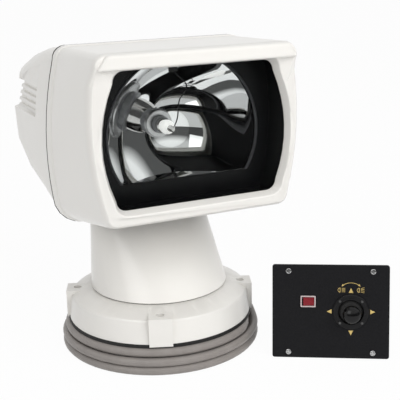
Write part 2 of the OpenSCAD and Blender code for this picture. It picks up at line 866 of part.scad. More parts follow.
module panel_plate() {
    color("black")
        on_panel()
            linear_extrude(panel_thick)
                difference() {
                    translate([0, panel_height / 2])
                        rounded(panel_width, panel_height, 2.5);
                    translate([stick_u, stick_v])
                        circle(r = sqrt(boot_radius * boot_radius - pivot_w * pivot_w) + 0.4);
                    translate([switch_u, switch_v])
                        square([switch_width - 1.6, switch_height - 1.6], center = true);
                    at_panel_screws()
                        circle(r = 1.5);
                    translate([stick_u, stick_v])
                        for (k = [0:3])
                            rotate(45 + 90 * k)
                                translate([flange_radius - 2.4, 0])
                                    circle(r = 0.8, $fn = 24);
                }
}
module control_box() {
    half = panel_width / 2 - 7;
    high = panel_height - 3;
    color("dimgray")
        on_panel()
            difference() {
                union() {
                    difference() {
                        translate([-half, 0, 0])
                            rotate([90, 0, 90])
                                linear_extrude(2 * half)
                                    polygon([[0, 0], [foot_v, -box_depth], [high - 12, -box_depth],
                                        [high, -7], [high, 0]]);
                        translate([2.5 - half, 0, 0])
                            rotate([90, 0, 90])
                                linear_extrude(2 * half - 5)
                                    polygon([[2.4, 1], [foot_v + 2.6, 2.5 - box_depth],
                                        [high - 14.5, 2.5 - box_depth], [high - 2.5, -6], [high - 2.5, 1]]);
                    }
                    at_panel_screws()
                        translate([0, 0, -7])
                            cylinder(r = 3, h = 7);
                }
                at_panel_screws()
                    translate([0, 0, -6.2])
                        cylinder(r = 1.5, h = 8);
            }
}
module panel_screws() {
    color("silver")
        on_panel()
            at_panel_screws()
                translate([0, 0, panel_thick])
                    rotate_extrude($fn = 32)
                        polygon([[0, -panel_thick - 6], [1.5, -panel_thick - 6], [1.5, 0], [2.8, 0],
                            [2.5, 0.8], [1.6, 1.5], [0, 1.7]]);
}
module panel_socket() {
    color("black")
        on_panel()
            translate([0, panel_height / 2, -box_depth])
                rotate([180, 0, 0])
                    difference() {
                        union() {
                            cylinder(r = 13, h = 2);
                            cylinder(r = plug_spigot + 1.8, h = 3 + spigot_length + pin_length);
                        }
                        translate([0, 0, 3])
                            cylinder(r = plug_spigot + 0.3, h = spigot_length + pin_length + 1);
                    }
}
module switch_frame() {
    color("mistyrose")
        on_panel()
            translate([switch_u, switch_v, 0])
                difference() {
                    union() {
                        translate([0, 0, panel_thick])
                            linear_extrude(1.6)
                                rounded(switch_width, switch_height, 0.8);
                        translate([0, 0, -7])
                            linear_extrude(7 + panel_thick)
                                square([switch_width - 1.6, switch_height - 1.6], center = true);
                    }
                    translate([0, 0, -5.5])
                        linear_extrude(20)
                            square([switch_width - 2.4, switch_height - 2.4], center = true);
                    rotate([90, 0, 0])
                        translate([0, 0, -switch_height / 2])
                            cylinder(r = 1 + fit, h = switch_height - 0.8, $fn = 32);
                }
}
module switch_rocker() {
    a = switch_width / 2 - 2.2;
    color("red")
        on_panel()
            translate([switch_u, switch_v, 0])
                rotate([0, 7, 0])
                    rotate([90, 0, 0])
                        union() {
                            translate([0, 0, 1.6 - switch_height / 2])
                                linear_extrude(switch_height - 3.2)
                                    polygon([[-a, 1.5], [-1, -2.5], [1, -2.5], [a, 1.5],
                                        [a, panel_thick + 1.8], [0, panel_thick + 1],
                                        [-a, panel_thick + 1.8]]);
                            translate([0, 0, 1.0 - switch_height / 2])
                                cylinder(r = 1, h = switch_height - 2, $fn = 32);
                        }
}
module joystick_flange() {
    mouth = sqrt(boot_radius * boot_radius - pow(panel_thick - pivot_w, 2)) + 0.4;
    color("black")
        on_panel()
            at_stick(panel_thick)
                difference() {
                    rotate_extrude()
                        polygon([[mouth, 0], [flange_radius, 0], [flange_radius, 1.8],
                            [flange_radius - 0.8, 2.6], [flange_radius - 4.6, 2.6],
                            [mouth + 0.4, 3.4], [mouth, 3]]);
                    for (k = [0:3])
                        rotate(45 + 90 * k)
                            translate([flange_radius - 2.4, 0, -1])
                                cylinder(r = 0.8, h = 6, $fn = 24);
                }
}
module flange_screws() {
    color("darkslategray")
        on_panel()
            at_stick(panel_thick)
                for (k = [0:3])
                    rotate(45 + 90 * k)
                        translate([flange_radius - 2.4, 0, -panel_thick + 0.2])
                            union() {
                                cylinder(r = 0.8, h = panel_thick + 2.4, $fn = 24);
                                translate([0, 0, panel_thick + 2.4])
                                    cylinder(r = 1.3, h = 0.8, $fn = 24);
                            }
}
module joystick_cup() {
    color("dimgray")
        on_panel()
            at_stick(0)
                difference() {
                    translate([0, 0, -12])
                        cylinder(r = boot_radius + 3.4, h = 12);
                    translate([0, 0, -13])
                        cylinder(r = boot_radius + 0.6, h = 14);
                    translate([-30, 0, pivot_w])
                        rotate([0, 90, 0])
                            cylinder(r = 1.2 + fit, h = 60, $fn = 32);
                }
}
module gimbal_ring() {
    color("silver")
        on_panel()
            at_stick(pivot_w)
                difference() {
                    union() {
                        translate([0, 0, -2])
                            cylinder(r = 9, h = 4);
                        for (s = [0, 1])
                            mirror([s, 0, 0])
                                translate([7.5, 0, 0])
                                    rotate([0, 90, 0])
                                        cylinder(r = 1.2, h = boot_radius - 4.7, $fn = 32);
                    }
                    translate([0, 0, -3])
                        cylinder(r = 6.2, h = 6);
                    translate([0, 20, 0])
                        rotate([90, 0, 0])
                            cylinder(r = 1.2 + fit, h = 40, $fn = 32);
                }
}
module joystick_stick() {
    color("silver")
        on_panel()
            at_stick(pivot_w)
                union() {
                    sphere(r = 5);
                    cylinder(r = 2.5, h = 26);
                    translate([0, 8.6, 0])
                        rotate([90, 0, 0])
                            cylinder(r = 1.2, h = 17.2, $fn = 32);
                }
}
module joystick_boot() {
    low = 24;
    inner = boot_radius - 1.8;
    skin_out = [for (i = [0:12])
        let (a = low + (78 - low) * i / 12, r = boot_radius - (i % 2 == 1 ? 0.7 : 0))
        [r * cos(a), r * sin(a)]];
    skin_in = [for (i = [6:-1:0]) let (a = low + (76 - low) * i / 6) [inner * cos(a), inner * sin(a)]];
    color("black")
        on_panel()
            at_stick(pivot_w)
                rotate_extrude()
                    polygon(concat(skin_out, [[2.5, boot_radius], [2.5, inner]], skin_in));
}
module joystick_knob() {
    color("black")
        on_panel()
            at_stick(pivot_w)
                rotate_extrude()
                    polygon(concat([[2.5 + fit, 15.5], [knob_radius - 3, 15.5], [knob_radius - 1, 17],
                        [knob_radius, 20], [knob_radius, 24]],
                        [for (i = [1:8]) [knob_radius * cos(11.25 * i), 24 + 6 * sin(11.25 * i)]],
                        [[0, 30], [0, 26.2], [2.5 + fit, 26.2]]));
}

front_casing();
seam_gasket_ring();
rear_housing();
front_glass();
mask_shroud();
mask_plate();
reflector();
socket_ring();
lamp_frame();
frame_posts();
bulb_carriage();
bulb();
focus_screw();
focus_bracket();
focus_motor();
tilt_bracket();
trunnion_pins();
tilt_sector();
tilt_pinion();
tilt_motor();
tilt_bushes();
yoke();
neck();
neck_hub();
hub_screws();
pan_gear();
pan_pinion();
pan_motor();
pan_post();
thrust_washer();
post_collar();
neck_seal();
base_skirt();
base_gasket();
base_screws();
cable_gland();
cable_lead();
cable_coil();
cable_tail();
cable_plug();
plug_pins();
panel_plate();
control_box();
panel_screws();
panel_socket();
switch_frame();
switch_rocker();
joystick_flange();
flange_screws();
joystick_cup();
gimbal_ring();
joystick_stick();
joystick_boot();
joystick_knob();
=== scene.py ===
import json
from math import cos, pi, radians, sin

import bpy
from mathutils import Matrix, Vector

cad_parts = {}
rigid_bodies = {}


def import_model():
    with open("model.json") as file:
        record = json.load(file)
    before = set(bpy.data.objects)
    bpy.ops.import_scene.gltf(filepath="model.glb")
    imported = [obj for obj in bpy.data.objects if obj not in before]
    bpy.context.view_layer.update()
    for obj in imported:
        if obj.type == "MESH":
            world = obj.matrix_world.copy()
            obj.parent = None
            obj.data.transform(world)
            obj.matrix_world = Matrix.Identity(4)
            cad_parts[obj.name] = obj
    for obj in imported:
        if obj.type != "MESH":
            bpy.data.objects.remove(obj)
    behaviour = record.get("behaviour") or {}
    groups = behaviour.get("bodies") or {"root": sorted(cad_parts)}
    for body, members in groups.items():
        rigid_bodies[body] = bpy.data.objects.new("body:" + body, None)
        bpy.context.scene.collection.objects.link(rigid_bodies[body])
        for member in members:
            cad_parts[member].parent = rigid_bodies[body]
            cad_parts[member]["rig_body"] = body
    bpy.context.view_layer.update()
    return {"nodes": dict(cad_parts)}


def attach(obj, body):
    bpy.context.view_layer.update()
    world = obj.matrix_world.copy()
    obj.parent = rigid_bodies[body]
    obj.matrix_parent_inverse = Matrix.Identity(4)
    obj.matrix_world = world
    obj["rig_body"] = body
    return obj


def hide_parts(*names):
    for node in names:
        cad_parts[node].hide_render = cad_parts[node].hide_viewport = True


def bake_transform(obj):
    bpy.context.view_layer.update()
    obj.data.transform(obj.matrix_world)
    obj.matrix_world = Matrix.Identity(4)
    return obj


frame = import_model()
nodes = frame["nodes"]


# The photograph's view: the camera stands a little to the lamp's right and above it,
# with a long lens, so the side of the head and the top of the base both show.
view_data = bpy.data.cameras.new("photo_view")
view_data.sensor_width = 36
view_data.lens = 78.03
view_data.clip_start = 0.05
view = bpy.data.objects.new("photo_view", view_data)
bpy.context.scene.collection.objects.link(view)
view.location = (-0.3198, -0.8269, 0.3982)
view.rotation_euler = (radians(74.373), radians(1.53), radians(-24.604))
bpy.context.scene.camera = view


# The cable: one length of grey rubber cable from the gland under the base, wound clockwise
# in three layers, from the top turn down to the floor, with its tail run out behind to a plug.
cable_radius = 0.00448
cable_gap = 0.00905
turn_out = 0.1021
top_turn = 0.0985
layers = (0.0045, 0.0135, 0.0225)
gland_out, gland_z, gland_depth = 0.020, 0.013, 0.006
tail_angle, tail_length, plug_height = 120, 0.070, 0.011
tail_rise_from, tail_rise_over = 0.02, 0.045
lead_points, step_points, tail_points = 25, 12, 24
turn_step, least_turn = 5, 200

# Each turn: its radius and height, then where and over how wide an angle it steps to the next.
turns = [
    (top_turn - cable_gap, layers[2], -22, 34),
    (top_turn, layers[2], 16, 38),
    (turn_out, layers[1], 50, 34),
    (turn_out - cable_gap, layers[1], 50, 34),
    (turn_out - 2 * cable_gap, layers[1], 78, 28),
    (turn_out - 2 * cable_gap, layers[0], 112, 34),
    (turn_out - cable_gap, layers[0], 112, 34),
    (turn_out, layers[0], tail_angle, 0),
]


def ease(t):
    """Rises from 0 to 1 without a kink at either end."""
    t = min(max(t, 0), 1)
    return t * t * (3 - 2 * t)


first_radius = turns[0][0]
lead_bend = (first_radius**2 - gland_out**2) / (2 * first_radius)
lead_end = Vector((gland_out, -lead_bend))
start_angle = -Vector((1, 0)).angle(lead_end)
route = [(gland_out - gland_depth, 0, gland_z)]
for i in range(lead_points):
    a = (pi / 2 - start_angle) * i / lead_points
    height = gland_z + (layers[2] - gland_z) * ease(i / lead_points)
    route.append((gland_out + lead_bend * sin(a), -lead_bend + lead_bend * cos(a), height))

angle = start_angle * 180 / pi
for i, (radius, height, step_at, width) in enumerate(turns):
    stop = step_at
    while stop > angle - least_turn:
        stop -= 360
    while angle > stop:
        route.append((radius * cos(radians(angle)), radius * sin(radians(angle)), height))
        angle -= turn_step
    angle = stop
    if width:
        next_radius, next_height = turns[i + 1][:2]
        # A step that goes both out and down goes out first.
        slanting = next_radius != radius and next_height != height
        for k in range(step_points):
            t = k / step_points
            out = ease(1.5 * t) if slanting else ease(t)
            down = ease(1.5 * t - 0.5) if slanting else ease(t)
            r = radius + (next_radius - radius) * out
            a = radians(stop - width * t)
            route.append((r * cos(a), r * sin(a), height + (next_height - height) * down))
        angle = stop - width

tail_from = turn_out * Vector((cos(radians(tail_angle)), sin(radians(tail_angle))))
tail_way = Vector((sin(radians(tail_angle)), -cos(radians(tail_angle))))
for i in range(tail_points + 1):
    run = tail_length * i / tail_points
    rise = (plug_height - layers[0]) * ease((run - tail_rise_from) / tail_rise_over)
    route.append((*(tail_from + run * tail_way), layers[0] + rise))

cable_curve = bpy.data.curves.new("cable", "CURVE")
cable_curve.dimensions = "3D"
cable_curve.bevel_depth = cable_radius
cable_curve.bevel_resolution = 5
cable_curve.use_fill_caps = True
line = cable_curve.splines.new("POLY")
line.points.add(len(route) - 1)
for point, place in zip(line.points, route):
    point.co = (*place, 1)
line.use_smooth = True
cable = bpy.data.objects.new("cable", cable_curve)
bpy.context.scene.collection.objects.link(cable)
cable_length = sum((Vector(b) - Vector(a)).length for a, b in zip(route, route[1:]))


class Net:
    """A socket of a material or the world; sums and products of it become Math nodes."""

    def __init__(self, socket):
        self.socket = socket

    def node(self, kind, settings, sockets, out=0):
        made = self.socket.id_data.nodes.new("ShaderNode" + kind)
        for name, value in settings.items():
            setattr(made, name, value)
        fill(made, sockets)
        return Net(made.outputs[out])

    def maths(self, operation, first, second):
        return self.node("Math", {"operation": operation}, {0: first, 1: second})

    def __add__(self, other):
        return self.maths("ADD", self, other)

    def __sub__(self, other):
        return self.maths("SUBTRACT", self, other)

    def __rsub__(self, other):
        return self.maths("SUBTRACT", other, self)

    def __mul__(self, other):
        return self.maths("MULTIPLY", self, other)

    __radd__, __rmul__ = __add__, __mul__

    def noise(self, scale, detail=2.0, stretch=(1, 1, 1)):
        place = self.node("Mapping", {}, {"Vector": self, "Scale": stretch})
        return self.node("TexNoise", {}, {"Vector": place, "Scale": scale, "Detail": detail})

    def blend(self, share, first, second):
        return self.node("Mix", {"data_type": "RGBA"}, {0: share, 6: first, 7: second}, out=2)

    def bump(self, height, depth, strength=1.0):
        return self.node("Bump", {}, {"Strength": strength, "Distance": depth, "Height": height})


def fill(made, sockets):
    """Links or sets a node's inputs."""
    for name, value in sockets.items():
        if isinstance(value, Net):
            made.id_data.links.new(value.socket, made.inputs[name])
        else:
            made.inputs[name].default_value = value


def new_finish(name):
    """A material with its shader, and the place on the piece as a Net."""
    made = bpy.data.materials.new(name)
    made.use_nodes = True
    shader = made.node_tree.nodes["Principled BSDF"]
    place = Net(made.node_tree.nodes.new("ShaderNodeTexCoord").outputs["Object"])
    return made, shader, place


jacket, shader, place = new_finish("cable_jacket")
dust = place.noise(70, 4)
fill(
    shader,
    {
        "Base Color": place.blend(dust, (0.225, 0.205, 0.192, 1), (0.315, 0.29, 0.272, 1)),
        "Roughness": 0.34 + 0.16 * place.noise(240, 3),
        "Normal": place.bump(place.noise(1500, 2), 0.00012, 0.5),
        "Specular IOR Level": 0.45,
    },
)
cable_curve.materials.append(jacket)
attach(cable, "base")
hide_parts("cable_lead", "cable_coil", "cable_tail")


# The plug on the tail: a black moulded body with three brass pins, and under the base the
# gland through which the cable comes out. Like most pieces, they keep the shape of their CAD nodes.
beam = 0.237
weld_distance, flat_angle = 0.000002, 0.6


def pick(piece, chosen):
    """Selects the points of a piece that pass a test, and stays in edit mode."""
    bpy.ops.object.mode_set(mode="EDIT")
    bpy.ops.mesh.select_all(action="DESELECT")
    bpy.ops.object.mode_set(mode="OBJECT")
    for corner in piece.data.vertices:
        corner.select = chosen(corner.co)
    bpy.ops.object.mode_set(mode="EDIT")


def take_over(name, finish, edge=0.0, segments=2, crease=32, flat=True, moves=(), whole=None):
    """A node's shape as a piece of its own: welded, its edges rounded, shaded smooth.

    whole chooses the points whose faces become one, and each of moves chooses points that are
    stretched about the beam's axis and then shifted.
    """
    bpy.ops.object.select_all(action="DESELECT")
    node = nodes[name]
    piece = bpy.data.objects.new(name + "_finished", node.data.copy())
    bpy.context.scene.collection.objects.link(piece)
    bpy.context.view_layer.objects.active = piece
    piece.select_set(True)
    bpy.ops.object.mode_set(mode="EDIT")
    bpy.ops.mesh.select_all(action="SELECT")
    bpy.ops.mesh.remove_doubles(threshold=weld_distance)
    if flat:
        bpy.ops.mesh.dissolve_limited(angle_limit=radians(flat_angle))
    if whole:
        pick(piece, whole)
        bpy.ops.mesh.dissolve_faces()
    for chosen, stretch, shift in moves:
        pick(piece, chosen)
        bpy.ops.transform.resize(value=stretch, center_override=(0, 0, beam))
        bpy.ops.transform.translate(value=shift)
    bpy.ops.object.mode_set(mode="OBJECT")
    if edge:
        rounding = piece.modifiers.new("edges", "BEVEL")
        rounding.width = edge
        rounding.segments = segments
        rounding.limit_method = "ANGLE"
        rounding.angle_limit = radians(crease)
        bpy.ops.object.modifier_apply(modifier=rounding.name)
    bpy.ops.object.shade_smooth_by_angle(angle=radians(crease))
    even = piece.modifiers.new("even", "WEIGHTED_NORMAL")
    even.keep_sharp = True
    bpy.ops.object.modifier_apply(modifier=even.name)
    piece.data.materials.clear()
    piece.data.materials.append(finish)
    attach(piece, node["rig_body"])
    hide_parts(name)
    return piece


moulded, shader, place = new_finish("black_moulding")
fill(
    shader,
    {
        "Base Color": place.blend(place.noise(90, 3), (0.004, 0.004, 0.0045, 1), (0.009, 0.009, 0.0095, 1)),
        "Roughness": 0.26 + 0.14 * place.noise(300, 3),
        "Specular IOR Level": 0.3,
        "Normal": place.bump(place.noise(2200, 2), 0.00006, 0.4),
    },
)
brass, shader, place = new_finish("turned_brass")
fill(
    shader,
    {
        "Base Color": place.blend(place.noise(160, 4), (0.62, 0.43, 0.16, 1), (0.75, 0.56, 0.26, 1)),
        "Metallic": 1.0,
        "Roughness": 0.24 + 0.14 * place.noise(600, 3),
    },
)
plug = take_over("cable_plug", moulded, edge=0.0008)
plug_pins = take_over("plug_pins", brass, edge=0.0003)
take_over("cable_gland", moulded, edge=0.0006)


# The base: a white moulded skirt with four deck lugs on a black rubber gasket, held to the
# post plate by screws. Its finish, a glossy warm white, is the same on neck and head.
white, shader, place = new_finish("white_gloss")
weather = place.noise(9, 5)
fill(
    shader,
    {
        "Base Color": place.blend(weather, (0.80, 0.78, 0.74, 1), (0.85, 0.835, 0.80, 1)),
        "Roughness": 0.26 + 0.1 * place.noise(55, 4),
        "Coat Weight": 0.25,
        "Coat Roughness": 0.12,
        "Normal": place.bump(place.noise(420, 2), 0.00008, 0.25),
    },
)
rubber, shader, place = new_finish("black_rubber")
fill(
    shader,
    {
        "Base Color": place.blend(place.noise(120, 4), (0.007, 0.007, 0.007, 1), (0.018, 0.0175, 0.017, 1)),
        "Roughness": 0.62 + 0.2 * place.noise(400, 3),
        "Normal": place.bump(place.noise(1800, 3), 0.0001, 0.5),
    },
)
steel, shader, place = new_finish("bright_steel")
fill(
    shader,
    {
        "Base Color": place.blend(place.noise(300, 3), (0.56, 0.56, 0.57, 1), (0.68, 0.68, 0.68, 1)),
        "Metallic": 1.0,
        "Roughness": 0.22 + 0.16 * place.noise(900, 3),
    },
)
take_over("base_skirt", white, edge=0.0012, segments=3)
take_over("base_gasket", rubber, edge=0.0004)
take_over("base_screws", steel, edge=0.0002)


# Inside the base: the pan motor with its brass pinion, the cast post on which the neck turns,
# a brass washer under the neck, the collar that holds it down, and a rubber seal.
cast, shader, place = new_finish("cast_alloy")
fill(
    shader,
    {
        "Base Color": place.blend(place.noise(140, 4), (0.33, 0.34, 0.35, 1), (0.46, 0.46, 0.47, 1)),
        "Metallic": 0.9,
        "Roughness": 0.46 + 0.2 * place.noise(420, 3),
        "Normal": place.bump(place.noise(1300, 3), 0.0001, 0.4),
    },
)
zinc, shader, place = new_finish("motor_can")
fill(
    shader,
    {
        "Base Color": place.blend(place.noise(210, 4), (0.3, 0.3, 0.31, 1), (0.42, 0.42, 0.43, 1)),
        "Metallic": 0.85,
        "Roughness": 0.36 + 0.18 * place.noise(500, 2, (1, 1, 0.1)),
    },
)
for name, finish in (
    ("pan_post", cast),
    ("pan_motor", zinc),
    ("pan_pinion", brass),
    ("thrust_washer", brass),
    ("post_collar", cast),
    ("neck_seal", rubber),
):
    take_over(name, finish, edge=0.0003)


# The neck: a white tapered shell on a cast hub, with the pan gear and the yoke screwed to it.
# The yoke's cheeks hold the brass bushes, the tilt motor and its pinion.
take_over("neck", white, edge=0.001, segments=3)
for name, finish in (
    ("neck_hub", cast),
    ("hub_screws", steel),
    ("pan_gear", brass),
    ("yoke", cast),
    ("tilt_bushes", brass),
    ("tilt_motor", zinc),
    ("tilt_pinion", brass),
):
    take_over(name, finish, edge=0.0003)


# The head's casing: a white front moulding with its brow and recessed frame, a ribbed rear
# housing, and a dark gasket in the seam between them. A bar along the brow makes its visor.
front_y, brow_low, back_y = -0.119, 0.297, 0.134
level_with, same_plane = 0.0001, 0.00002
stay = (0, 0, 0)
middle_stretch, frame_stretch, brow_stretch = (1.02, 1, 1), (1.04, 1, 1.025), (1.04, 1, 1)
gasket_stretch = (1.011, 1, 1.014)

# The frame's rounded edge: from where to where in from the outline, and how far back it goes.
frame_width = 0.006
frame_rings = (
    (0.003, frame_width, 0.003),
    (0.001, 0.003, 0.0047),
    (0, 0.001, 0.0099),
)
brow_at, brow_size = Vector((0, -0.1208, 0.3142)), Vector((0.1955, 0.018, 0.0136))
brow_taper, brow_edge = (0.9, 1, 1), 0.003
outline = [v.co for v in nodes["front_casing"].data.vertices if abs(v.co.y - front_y) < same_plane]


def frame_edge(nearest, farthest, below=1.0):
    """Chooses the casing's front points this far in from its outline, up to a height."""

    def chosen(co):
        if co.y > front_y + level_with or co.z > below:
            return False
        inward = min(Vector((co.x - o.x, co.z - o.z)).length for o in outline)
        return nearest <= inward < farthest

    return chosen


def block(name, at, size):
    """A plain bar, which is then the active object."""
    bpy.ops.object.select_all(action="DESELECT")
    bpy.ops.mesh.primitive_cube_add(size=1, location=at)
    made = bpy.context.object
    made.name = name
    made.scale = size
    bpy.ops.object.transform_apply(location=True, rotation=True, scale=True)
    return made


def soften(piece, width, segments):
    """Rounds all edges of a bar."""
    rounding = piece.modifiers.new("edges", "BEVEL")
    rounding.width, rounding.segments = width, segments
    bpy.ops.object.modifier_apply(modifier=rounding.name)


def dress(piece, finish):
    """Shades a new piece smooth between its sharp edges, and gives it its finish."""
    bpy.ops.object.shade_smooth_by_angle(angle=radians(40))
    piece.data.materials.append(finish)


take_over(
    "front_casing",
    white,
    edge=0.0012,
    segments=3,
    moves=[
        (lambda co: abs(co.y - front_y / 2) < level_with, middle_stretch, stay),
        *(
            (frame_edge(near, far, brow_low), frame_stretch, (0, back, 0))
            for near, far, back in frame_rings
        ),
        (lambda co: co.z > brow_low and frame_edge(0, frame_width)(co), brow_stretch, stay),
    ],
)
brow = block("casing_brow", brow_at, brow_size)
pick(brow, lambda co: co.z > brow_at.z)
bpy.ops.transform.resize(value=brow_taper, center_override=brow_at)
bpy.ops.object.mode_set(mode="OBJECT")
soften(brow, brow_edge, 4)
dress(brow, white)
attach(brow, "head")
take_over("rear_housing", white, crease=13, flat=False, whole=lambda co: co.y > back_y)
take_over("seam_gasket_ring", rubber, moves=[(lambda co: True, gasket_stretch, stay)])


# The lamp's works behind the reflector: a cast frame on steel posts carries the bulb's slide,
# its screw and motor, and the bracket with the trunnion pins and the brass tilt sector.
for name, finish in (
    ("lamp_frame", cast),
    ("frame_posts", steel),
    ("bulb_carriage", cast),
    ("focus_screw", steel),
    ("focus_bracket", cast),
    ("focus_motor", zinc),
    ("tilt_bracket", cast),
    ("trunnion_pins", steel),
    ("tilt_sector", brass),
):
    take_over(name, finish, edge=0.0003)


# The optics: a polished parabolic reflector behind a black mask, with a fine grey rim round the mask's
# window as a painted highlight of its edge, the bulb in its ring, its stiff wire in a clip under the
# reflector's top, and a clear flat pane in front.
rim, focal, apex_hole, flange = 0.077, 0.0238, 0.014, 0.006
rim_y, mask_low, mask_high = -0.0770, 0.1954, 0.3030
round_steps, bowl_steps, bowl_thickness = 160, 24, 0.0014
mask_ahead, rim_gap, rim_thickness = 0.005, 0.0004, 0.0013
glass_back, glass_front = -0.0318, -0.0478
swell_back, swell_front, bulb_swell = -0.034, -0.044, (1.15, 1, 1.15)
clip_at, clip_size, clip_edge = (0.001, -0.0573, 0.2975), (0.009, 0.003, 0.0075), 0.0008
wire_radius = 0.0007
mirror, shader, place = new_finish("polished_reflector")
fill(
    shader,
    {
        "Base Color": (0.96, 0.96, 0.965, 1),
        "Metallic": 1.0,
        "Roughness": 0.015 + 0.02 * place.noise(40, 3),
    },
)
satin, shader, place = new_finish("black_satin")
fill(
    shader,
    {
        "Base Color": place.blend(place.noise(60, 3), (0.003, 0.003, 0.0035, 1), (0.007, 0.007, 0.008, 1)),
        "Roughness": 0.3 + 0.12 * place.noise(350, 3),
        "Specular IOR Level": 0.2,
    },
)
# The rim's grey is a painted highlight along the edge of the mask's window.
rim_highlight_grey, shader, place = new_finish("rim_highlight_grey")
fill(
    shader,
    {
        "Base Color": place.blend(place.noise(200, 3), (0.035, 0.035, 0.04, 1), (0.06, 0.06, 0.066, 1)),
        "Roughness": 0.3 + 0.1 * place.noise(400, 3),
    },
)
# The bulb's glass ball is white and glows between its metal ends: a painted highlight, as the lamp is not
# lit.
quartz_painted_glow, shader, place = new_finish("bulb_glass")
along = place.node("SeparateXYZ", {}, {0: place}, out=1)
behind = along.maths("GREATER_THAN", along, glass_back)
capped = behind + along.maths("LESS_THAN", along, glass_front)
fill(
    shader,
    {
        "Base Color": place.blend(capped, (0.92, 0.91, 0.89, 1), (0.6, 0.59, 0.58, 1)),
        "Metallic": capped,
        "Roughness": 0.06 + 0.12 * place.noise(300, 2),
        "Emission Color": place.blend(capped, (0.9, 0.9, 0.88, 1), (0, 0, 0, 1)),
        "Emission Strength": 0.6,
    },
)
pane = bpy.data.materials.new("clear_pane")
pane.use_nodes = True
tree = pane.node_tree
sheen = tree.nodes["Principled BSDF"]
fill(sheen, {"Base Color": (0.02, 0.02, 0.02, 1), "Roughness": 0.02})
clear = tree.nodes.new("ShaderNodeBsdfTransparent")
clear.inputs["Color"].default_value = (0.96, 0.97, 0.965, 1)
edge_on = Net(tree.nodes.new("ShaderNodeFresnel").outputs["Fac"])
through, shine = Net(clear.outputs[0]), Net(sheen.outputs[0])
both = edge_on.node("MixShader", {}, {0: edge_on * 0.4, 1: through, 2: shine})
tree.links.new(both.socket, tree.nodes["Material Output"].inputs["Surface"])

bpy.ops.object.select_all(action="DESELECT")
radius, depth = rim + flange, 0.0
bpy.ops.mesh.primitive_circle_add(
    vertices=round_steps, radius=radius, location=(0, rim_y, beam), rotation=(pi / 2, 0, 0)
)
bowl = bpy.context.object
bowl.name = "reflector_bowl"
bpy.ops.object.transform_apply(location=True, rotation=True, scale=True)
bpy.ops.object.mode_set(mode="EDIT")
bpy.ops.mesh.select_all(action="SELECT")
for i in range(bowl_steps + 1):
    next_radius = rim + (apex_hole - rim) * i / bowl_steps
    next_depth = (rim**2 - next_radius**2) / (4 * focal)
    bpy.ops.mesh.extrude_region_move(TRANSFORM_OT_translate={"value": (0, next_depth - depth, 0)})
    share = next_radius / radius
    bpy.ops.transform.resize(value=(share, 1, share), center_override=(0, rim_y + next_depth, beam))
    radius, depth = next_radius, next_depth
for height, side in ((mask_low - flange, -1), (mask_high + flange, 1)):
    bpy.ops.mesh.select_all(action="SELECT")
    bpy.ops.mesh.bisect(plane_co=(0, 0, height), plane_no=(0, 0, side), clear_outer=True)
    bpy.ops.mesh.edge_face_add()
bpy.ops.mesh.select_all(action="SELECT")
bpy.ops.mesh.normals_make_consistent(inside=False)
bpy.ops.object.mode_set(mode="OBJECT")
shell = bowl.modifiers.new("shell", "SOLIDIFY")
shell.thickness = bowl_thickness
shell.offset = 0
bpy.ops.object.modifier_apply(modifier=shell.name)
dress(bowl, mirror)
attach(bowl, "head")
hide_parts("reflector")
take_over("mask_shroud", satin, edge=0.0003)
take_over("mask_plate", satin, edge=0.001, segments=3)
# A thin grey ring round the mask's window: a painted highlight of its edge, not a part.
bpy.ops.object.select_all(action="DESELECT")
bpy.ops.mesh.primitive_torus_add(
    major_radius=rim + rim_gap,
    minor_radius=rim_thickness,
    major_segments=round_steps,
    minor_segments=12,
    location=(0, rim_y - mask_ahead, beam),
    rotation=(pi / 2, 0, 0),
)
rim_highlight_ring = bpy.context.object
rim_highlight_ring.name = "rim_highlight_ring"
bpy.ops.object.transform_apply(location=True, rotation=True, scale=True)
bpy.ops.object.mode_set(mode="EDIT")
for height, side in ((mask_low, -1), (mask_high, 1)):
    bpy.ops.mesh.select_all(action="SELECT")
    bpy.ops.mesh.bisect(plane_co=(0, 0, height), plane_no=(0, 0, side), clear_outer=True, use_fill=True)
bpy.ops.object.mode_set(mode="OBJECT")
dress(rim_highlight_ring, rim_highlight_grey)
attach(rim_highlight_ring, "head")
take_over("socket_ring", steel, edge=0.0003)
take_over("bulb", quartz_painted_glow, moves=[(lambda co: swell_front < co.y < swell_back, bulb_swell, stay)])
clip = block("wire_clip", clip_at, clip_size)
soften(clip, clip_edge, 2)
dress(clip, moulded)
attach(clip, "head")
bends = [
    Vector((0.0013, -0.0570, 0.2950)),
    Vector((0.0061, -0.0565, 0.2889)),
    Vector((0.0125, -0.0562, 0.2842)),
    Vector((0.0159, -0.0560, 0.2796)),
    Vector((0.0147, -0.0560, 0.2748)),
    Vector((0.0112, -0.0560, 0.2707)),
    Vector((0.0072, -0.0560, 0.2665)),
    Vector((0.0059, -0.0560, 0.2605)),
    Vector((0.0056, -0.0555, 0.2506)),
    Vector((0.0040, -0.0540, 0.2430)),
    Vector((0.0012, -0.0530, 0.2385)),
]
bpy.ops.object.select_all(action="DESELECT")
bpy.ops.mesh.primitive_circle_add(vertices=8, radius=wire_radius, fill_type="NGON", location=bends[0])
wire = bpy.context.object
wire.name = "bulb_wire"
bpy.ops.object.transform_apply(location=True, rotation=True, scale=True)
bpy.ops.object.mode_set(mode="EDIT")
bpy.ops.mesh.select_all(action="SELECT")
for above, below in zip(bends, bends[1:]):
    bpy.ops.mesh.extrude_region_move(TRANSFORM_OT_translate={"value": below - above})
bpy.ops.mesh.select_all(action="SELECT")
bpy.ops.mesh.normals_make_consistent(inside=False)
bpy.ops.object.mode_set(mode="OBJECT")
rounding = wire.modifiers.new("bends", "SUBSURF")
rounding.levels = 2
bpy.ops.object.modifier_apply(modifier=rounding.name)
dress(wire, moulded)
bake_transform(wire)
take_over("front_glass", pane, edge=0.0003)


